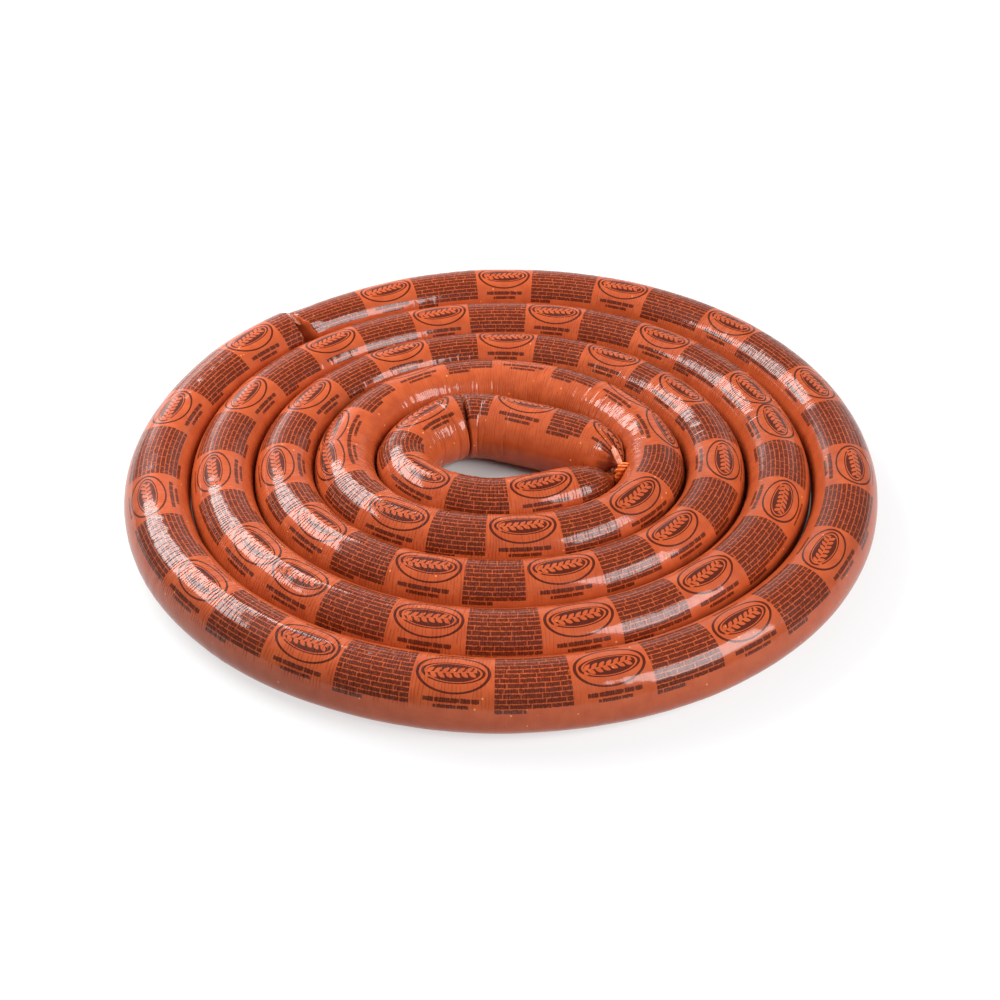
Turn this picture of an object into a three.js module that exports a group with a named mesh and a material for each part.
// A long sausage in printed casing, laid in five flat rings one inside the other.
// Millimetres, Z up. The rings lie on Z = 0, with the middle of their outline at the origin.
// The front of the part faces -Y.
import * as THREE from "three";

const { degToRad } = THREE.MathUtils;

// ---- driving dimensions ----

const sectionSides = 16; // sides of a section, one of them flat on the ground
const stationSpan = 14.5; // distance between sections on a ring of even thickness
const touchGap = 0.8; // what pressed pieces leave between them
const flatShare = Math.cos(Math.PI / sectionSides); // height of a middle line over its flat side

// Each ring: its thickness, mean radius of its middle line, where its middle lies, how much wider
// than deep it is (oval), how that leans, and how far it is drawn out to one side (pear), which
// leans too.
const outerRing = {
  thickness: 32.3, radius: 175.6, middle: [0.8, -0.7],
  oval: 3.5, ovalLean: 1.4, pear: -0.7, pearLean: -0.7,
};
const secondRing = {
  thickness: 31.5, radius: 141.1, middle: [-0.3, -2.8],
  oval: 4.9, ovalLean: 0.5, pear: -0.3, pearLean: 0.1,
};
const thirdRing = {
  thickness: 30.4, radius: 107.8, middle: [-0.9, -1.5],
  oval: 5.6, ovalLean: -0.3, pear: 0.1, pearLean: -0.6,
};
const fourthRing = {
  thickness: 31.8, radius: 75.7, middle: [-1.6, -1.6],
  oval: 5.5, ovalLean: -0.8, pear: 0.4, pearLean: -1.0,
};

// The outer ring is open at the back left, where its two ends meet in a wedge that is narrow on
// its outer side. lean is how far each end's plane turns from square, in radians.
const openAt = degToRad(134.1); // middle of the joint, from +X
const tipSpan = 8.2; // distance between the two tips
const bluntEnd = { length: 6, roundness: 3, tip: 4.2, lean: -0.2 };
const gatheredEnd = { length: 8, roundness: 2.6, tip: 3.4, lean: 0.3, pleat: 0.07, pleatSpan: 7.2 };
const endShares = [0, 0.06, 0.18, 0.36, 0.62, 1]; // sections of a rounded end, closest at its tip
const leanSpan = 26; // how far from a tip its lean is gone
const swell = { size: 1.7, span: 100 }; // how much fuller the sausage is towards its blunt end
const slim = { size: 1.1, span: 80 }; // how much thinner it is towards its gathered end

// The twisted casing between the two ends: a flat knot, and a tail bent over the sausage.
const knot = { radius: 7.4, thickness: 4.6, squash: 0.9, height: 16, inset: 1.6, pleat: 0.09 };
const knotShares = [-0.5, -0.42, -0.16, 0.16, 0.42, 0.5]; // its sections, in shares of its thickness
const knotRoundShare = 0.56; // half length of the rounding that the knot is cut from, likewise
const tail = { reach: 12.4, width: 5.2, thickness: 3.6, from: 74, to: 214, turns: 2.5 };
const tailTaper = { root: 0.12, filling: 1.6, thinning: 0.35 };
const tailStations = 19;
const tailSides = 10;

// The inner ring is one loose loop: x, y, height and radius along its middle line, from the
// gathered end of the straight arm, round the kink and the turn, to the end of the near arm.
const innerLoop = [
  [63.0, -9.6, 16.9, 17.2], [59.9, -2.9, 16.9, 17.2], [52.4, 4.8, 16.6, 17.5],
  [31.2, 15.7, 16.6, 17.7], [-4.8, 29.4, 16.8, 17.9], [-21.6, 30.1, 16.8, 18.0],
  [-31.3, 24.8, 16.6, 17.5], [-44.1, 14.1, 16.0, 16.5], [-51.0, -2.0, 15.2, 15.6],
  [-45.4, -19.3, 14.9, 15.3], [-28.1, -33.7, 15.0, 15.4], [-0.6, -39.5, 15.0, 15.5],
  [35.1, -30.3, 15.3, 15.8], [51.3, -19.8, 15.5, 16.3], [57.2, -14.2, 15.4, 16.3],
];
// Its two ends narrow towards their tips, over about this span. The first also rises.
const armEnd = { tip: 1.6, span: 14, sharpness: 1.5, rise: 3.7, riseSpan: 9 };
const nearEnd = { tip: 2.2, span: 11.6, sharpness: 1.35 };
const innerStep = 5; // distance between sections on the inner ring
const innerEndStep = 1.8; // the same near its two ends
const innerEndSpan = 22; // how far from each end the close sections go
const innerPleat = 0.06;
// Creases across the inner ring's inner side: distance from the start, depth and half width.
const creases = [
  { at: 96.5, depth: 2.1, halfWidth: 1.6 },
  { at: 109.5, depth: 0.8, halfWidth: 1.8 },
  { at: 86.5, depth: 0.5, halfWidth: 1.4 },
];
const creaseFacing = degToRad(144); // the loop runs anticlockwise, so its inner side is on the left
const creaseStops = [-2, -0.8, 0, 0.8, 2]; // sections at a crease, in half widths
const creaseClear = 2.6; // how far from a crease the even sections stay, likewise

// The folded tab of casing at the inner joint, down the inner side of the fourth ring: x, y,
// height and half width along its length.
const tabLine = [
  [66.6, -16.6, 25.6, 1.0], [65.2, -15.4, 22.8, 3.0], [64.0, -15.4, 19.8, 3.6],
  [63.0, -16.6, 17.0, 3.0], [62.2, -18.4, 14.4, 2.2], [61.4, -20.0, 12.2, 1.0],
];
const tab = { thickness: 1.4, edgeThinning: 0.5, stations: 16, pointsAcross: 5 };
const tabFold = { height: 0.6, fullHalfWidth: 4, wave: 3.6, drift: 5 };

// ---- shared shapes ----

const up = new THREE.Vector3(0, 0, 1);

// A closed body over rows of points. Each row goes once round, with +T ahead and Z up, from the
// right through the top to the left. The ends are closed by a point unless the rows are a loop.
function skin(rows, isLoop) {
  const around = rows[0].length;
  const points = rows.flat();
  const faces = [];
  const rowCount = isLoop ? rows.length : rows.length - 1;
  for (let i = 0; i < rowCount; i += 1) {
    const here = i * around;
    const next = ((i + 1) % rows.length) * around;
    for (let k = 0; k < around; k += 1) {
      const l = (k + 1) % around;
      faces.push(here + k, next + k, next + l, here + k, next + l, here + l);
    }
  }
  if (!isLoop) {
    const first = points.length;
    points.push(middleOf(rows[0]), middleOf(rows[rows.length - 1]));
    const lastRow = (rows.length - 1) * around;
    for (let k = 0; k < around; k += 1) {
      const l = (k + 1) % around;
      faces.push(first, k, l);
      faces.push(first + 1, lastRow + l, lastRow + k);
    }
  }
  const geometry = new THREE.BufferGeometry().setFromPoints(points);
  geometry.setIndex(faces);
  geometry.computeVertexNormals();
  return geometry;
}

function middleOf(row) {
  const sum = new THREE.Vector3();
  for (const point of row) sum.add(point);
  return sum.divideScalar(row.length);
}

// A section across a level middle line: an outline with a flat side below, kept above the ground.
// radiusAt gives the radius at each corner and its angle, where 0 is the right side and 90 degrees
// the top.
function section(centre, along, radiusAt) {
  const right = new THREE.Vector3().crossVectors(along, up).normalize();
  const row = [];
  for (let corner = 0; corner < sectionSides; corner += 1) {
    const angle = ((corner + 0.5) / sectionSides) * 2 * Math.PI;
    const radius = radiusAt(corner, angle);
    const point = centre.clone();
    point.addScaledVector(right, radius * Math.cos(angle));
    point.addScaledVector(up, radius * Math.sin(angle));
    point.z = Math.max(point.z, 0);
    row.push(point);
  }
  return row;
}

// Ridges and furrows take turns round a pleated section.
function pleated(corner, depth) {
  return 1 + depth * (corner % 2 === 0 ? 1 : -1);
}

// A smooth curve through the first three numbers of each row.
function curveThrough(rows) {
  const points = rows.map(([x, y, z]) => new THREE.Vector3(x, y, z));
  return new THREE.CatmullRomCurve3(points, false, "catmullrom", 0.5);
}

// ---- the rings ----

function ringPoint(ring, angle) {
  const reach = ring.radius
    + ring.oval * Math.cos(2 * angle) + ring.ovalLean * Math.sin(2 * angle)
    + ring.pear * Math.cos(3 * angle) + ring.pearLean * Math.sin(3 * angle);
  return new THREE.Vector3(
    ring.middle[0] + reach * Math.cos(angle),
    ring.middle[1] + reach * Math.sin(angle),
    (ring.thickness / 2) * flatShare,
  );
}

function ringAlong(ring, angle) {
  const nudge = 0.001;
  return ringPoint(ring, angle + nudge).sub(ringPoint(ring, angle - nudge)).normalize();
}

function closedRing(ring) {
  const stations = Math.round((2 * Math.PI * ring.radius) / stationSpan);
  const rows = [];
  for (let i = 0; i < stations; i += 1) {
    const angle = (i / stations) * 2 * Math.PI;
    rows.push(section(ringPoint(ring, angle), ringAlong(ring, angle), () => ring.thickness / 2));
  }
  return skin(rows, true);
}

// Radius of a rounded end at a distance from its tip.
function roundedRadius(end, full, fromTip) {
  const share = Math.min(fromTip / end.length, 1);
  const round = (1 - (1 - share) ** end.roundness) ** (1 / end.roundness);
  return end.tip + (full - end.tip) * round;
}

// Falls from 1 at an end to 0 at a distance from it.
function fade(fromEnd, span) {
  return Math.cos((Math.PI / 2) * Math.min(1, fromEnd / span));
}

// The outer ring, from its blunt end at the back left, round the front, to its gathered end.
function openRing(ring) {
  const halfGap = tipSpan / 2 / ring.radius;
  const start = openAt + halfGap;
  const span = 2 * Math.PI - 2 * halfGap;
  const length = span * ring.radius;
  const evenFrom = bluntEnd.length;
  const evenTo = length - gatheredEnd.length;
  const stations = Math.round((evenTo - evenFrom) / stationSpan);
  const stops = endShares.map((share) => share * bluntEnd.length);
  for (let i = 1; i < stations; i += 1) stops.push(evenFrom + ((evenTo - evenFrom) * i) / stations);
  for (const share of [...endShares].reverse()) stops.push(length - share * gatheredEnd.length);
  const rows = stops.map((stop) => {
    const toEnd = length - stop;
    const angle = start + (stop / length) * span;
    const fuller = swell.size * fade(stop, swell.span) - slim.size * fade(toEnd, slim.span);
    const full = ring.thickness / 2 + fuller;
    const radius = Math.min(roundedRadius(bluntEnd, full, stop), roundedRadius(gatheredEnd, full, toEnd));
    const pleat = toEnd < gatheredEnd.pleatSpan ? gatheredEnd.pleat : 0;
    const bluntLean = bluntEnd.lean * Math.max(0, 1 - stop / leanSpan);
    const gatheredLean = gatheredEnd.lean * Math.max(0, 1 - toEnd / leanSpan);
    const along = ringAlong(ring, angle).applyAxisAngle(up, bluntLean + gatheredLean);
    const radiusAt = (corner) => radius * pleated(corner, pleat);
    return section(ringPoint(ring, angle), along, radiusAt).map(keepOff(secondRing));
  });
  return skin(rows, false);
}

// The way from a ring's middle line to a point beside it.
function awayFrom(ring, point) {
  const angle = Math.atan2(point.y - ring.middle[1], point.x - ring.middle[0]);
  return point.clone().sub(ringPoint(ring, angle));
}

// Pushes a point off a ring that it would touch, as soft pieces press flat on each other.
function keepOff(ring) {
  return (point) => {
    const away = awayFrom(ring, point);
    const nearest = point.clone().sub(away);
    const least = ring.thickness / 2 + touchGap;
    if (away.length() < least) away.setLength(least);
    return nearest.add(away);
  };
}

// Radius of an end that narrows softly, at a distance from its tip.
function narrowedRadius(end, full, fromTip) {
  return end.tip + (full - end.tip) * (1 - Math.exp(-((fromTip / end.span) ** end.sharpness)));
}

// Distances from the start at which the inner ring has its sections.
function innerStops(length) {
  const stops = [];
  for (let stop = 0; stop < innerEndSpan; stop += innerEndStep) stops.push(stop, length - stop);
  const evenLength = length - 2 * innerEndSpan;
  const evenStations = Math.round(evenLength / innerStep);
  for (let i = 0; i <= evenStations; i += 1) {
    const stop = innerEndSpan + (evenLength * i) / evenStations;
    const isByCrease = creases.some(({ at, halfWidth }) => Math.abs(stop - at) < creaseClear * halfWidth);
    if (!isByCrease) stops.push(stop);
  }
  for (const { at, halfWidth } of creases) {
    for (const place of creaseStops) stops.push(at + place * halfWidth);
  }
  return stops.sort((a, b) => a - b);
}

function innerRing() {
  const line = curveThrough(innerLoop);
  const radii = curveThrough(innerLoop.map(([, , , radius]) => [radius, 0, 0]));
  line.arcLengthDivisions = 2000;
  const length = line.getLength();
  const rows = innerStops(length).map((stop) => {
    const toEnd = length - stop;
    const t = line.getUtoTmapping(stop / length);
    const centre = line.getPoint(t);
    centre.z += armEnd.rise * Math.exp(-stop / armEnd.riseSpan);
    const along = line.getTangent(t).setZ(0).normalize();
    const full = radii.getPoint(t).x;
    const radius = Math.min(narrowedRadius(armEnd, full, stop), narrowedRadius(nearEnd, full, toEnd));
    const pleat = innerPleat * Math.max(0, 1 - Math.min(stop, toEnd) / innerEndSpan);
    let dent = 0;
    for (const { at, depth, halfWidth } of creases) {
      dent += depth * Math.exp(-(((stop - at) / halfWidth) ** 2));
    }
    const radiusAt = (corner, angle) => {
      const inward = Math.max(0, Math.cos(angle - creaseFacing));
      return radius * pleated(corner, pleat) - dent * inward;
    };
    return section(centre, along, radiusAt).map(keepOff(fourthRing));
  });
  return skin(rows, false);
}

// ---- knot, tail and tab ----

// The place and direction of the joint in the outer ring.
const jointCentre = ringPoint(outerRing, openAt);
const jointAlong = ringAlong(outerRing, openAt);
const jointOutward = new THREE.Vector3().crossVectors(jointAlong, up);

function knotShape() {
  const middle = jointCentre.clone().setZ(knot.height).addScaledVector(jointOutward, -knot.inset);
  const rows = knotShares.map((share) => {
    const radius = knot.radius * Math.sqrt(1 - (share / knotRoundShare) ** 2);
    const centre = middle.clone().addScaledVector(jointAlong, share * knot.thickness);
    const radiusAt = (corner, angle) => {
      const narrowing = 1 - (1 - knot.squash) * Math.cos(angle) ** 2;
      return radius * pleated(corner, knot.pleat) * narrowing;
    };
    return section(centre, jointAlong, radiusAt);
  });
  return skin(rows, false);
}

// A twisted flat cord bent round the sausage, in the groove between the two ends.
function tailShape() {
  const rows = [];
  for (let i = 0; i < tailStations; i += 1) {
    const share = i / (tailStations - 1);
    const bend = degToRad(tail.from + (tail.to - tail.from) * share);
    const outward = jointOutward.clone().multiplyScalar(Math.cos(bend)).addScaledVector(up, Math.sin(bend));
    const centre = jointCentre.clone().addScaledVector(outward, tail.reach);
    const twist = share * tail.turns * Math.PI;
    const filled = Math.sin((Math.PI / 2) * Math.min(1, tailTaper.root + share * tailTaper.filling));
    const taper = filled * (1 - tailTaper.thinning * share ** 3);
    const row = [];
    for (let k = 0; k < tailSides; k += 1) {
      const angle = (k / tailSides) * 2 * Math.PI;
      const wide = Math.cos(angle) * (tail.width / 2) * taper;
      const thick = Math.sin(angle) * (tail.thickness / 2) * taper;
      const sideways = wide * Math.cos(twist) - thick * Math.sin(twist);
      const lengthways = wide * Math.sin(twist) + thick * Math.cos(twist);
      row.push(centre.clone().addScaledVector(outward, lengthways).addScaledVector(jointAlong, sideways));
    }
    rows.push(row);
  }
  return skin(rows, false);
}

// A folded strip of casing that lies down the inner side of the fourth ring.
function tabShape() {
  const rows = [];
  const last = tabLine.length - 1;
  const line = curveThrough(tabLine);
  for (let i = 0; i < tab.stations; i += 1) {
    const share = i / (tab.stations - 1);
    const centre = keepOff(fourthRing)(line.getPoint(share));
    const along = line.getTangent(share);
    const off = awayFrom(fourthRing, centre).normalize();
    const aside = new THREE.Vector3().crossVectors(along, off).normalize();
    const before = Math.min(Math.floor(share * last), last - 1);
    const half = THREE.MathUtils.lerp(tabLine[before][3], tabLine[before + 1][3], share * last - before);
    const front = [];
    const back = [];
    for (let j = 0; j < tab.pointsAcross; j += 1) {
      const place = (j / (tab.pointsAcross - 1)) * 2 - 1;
      const wave = 1 + Math.sin(place * tabFold.wave + share * tabFold.drift);
      const fold = tabFold.height * wave * (half / tabFold.fullHalfWidth);
      const thin = tab.thickness * (1 - tab.edgeThinning * place * place);
      const lift = centre.clone().addScaledVector(aside, place * half).addScaledVector(off, fold);
      back.push(lift.clone());
      front.push(lift.addScaledVector(off, thin));
    }
    rows.push([...back, ...front.reverse()]);
  }
  return skin(rows, false);
}

// ---- the part ----

const casing = { color: "#b9552f", roughness: 0.3 };
const twist = { color: "#6e2c1b", roughness: 0.35 };
const foldedCasing = { color: "#d9692b", roughness: 0.35 };

function piece(name, geometry, { color, roughness }) {
  const material = new THREE.MeshStandardMaterial({ color, roughness, metalness: 0 });
  const mesh = new THREE.Mesh(geometry, material);
  mesh.name = name;
  return mesh;
}

const coil = new THREE.Group();
coil.name = "coiled_sausage";
coil.add(piece("outer_ring", openRing(outerRing), casing));
coil.add(piece("second_ring", closedRing(secondRing), casing));
coil.add(piece("third_ring", closedRing(thirdRing), casing));
coil.add(piece("fourth_ring", closedRing(fourthRing), casing));
coil.add(piece("inner_ring", innerRing(), casing));
coil.add(piece("outer_knot", knotShape(), twist));
coil.add(piece("outer_tail", tailShape(), twist));
coil.add(piece("inner_tab", tabShape(), foldedCasing));

export default coil;
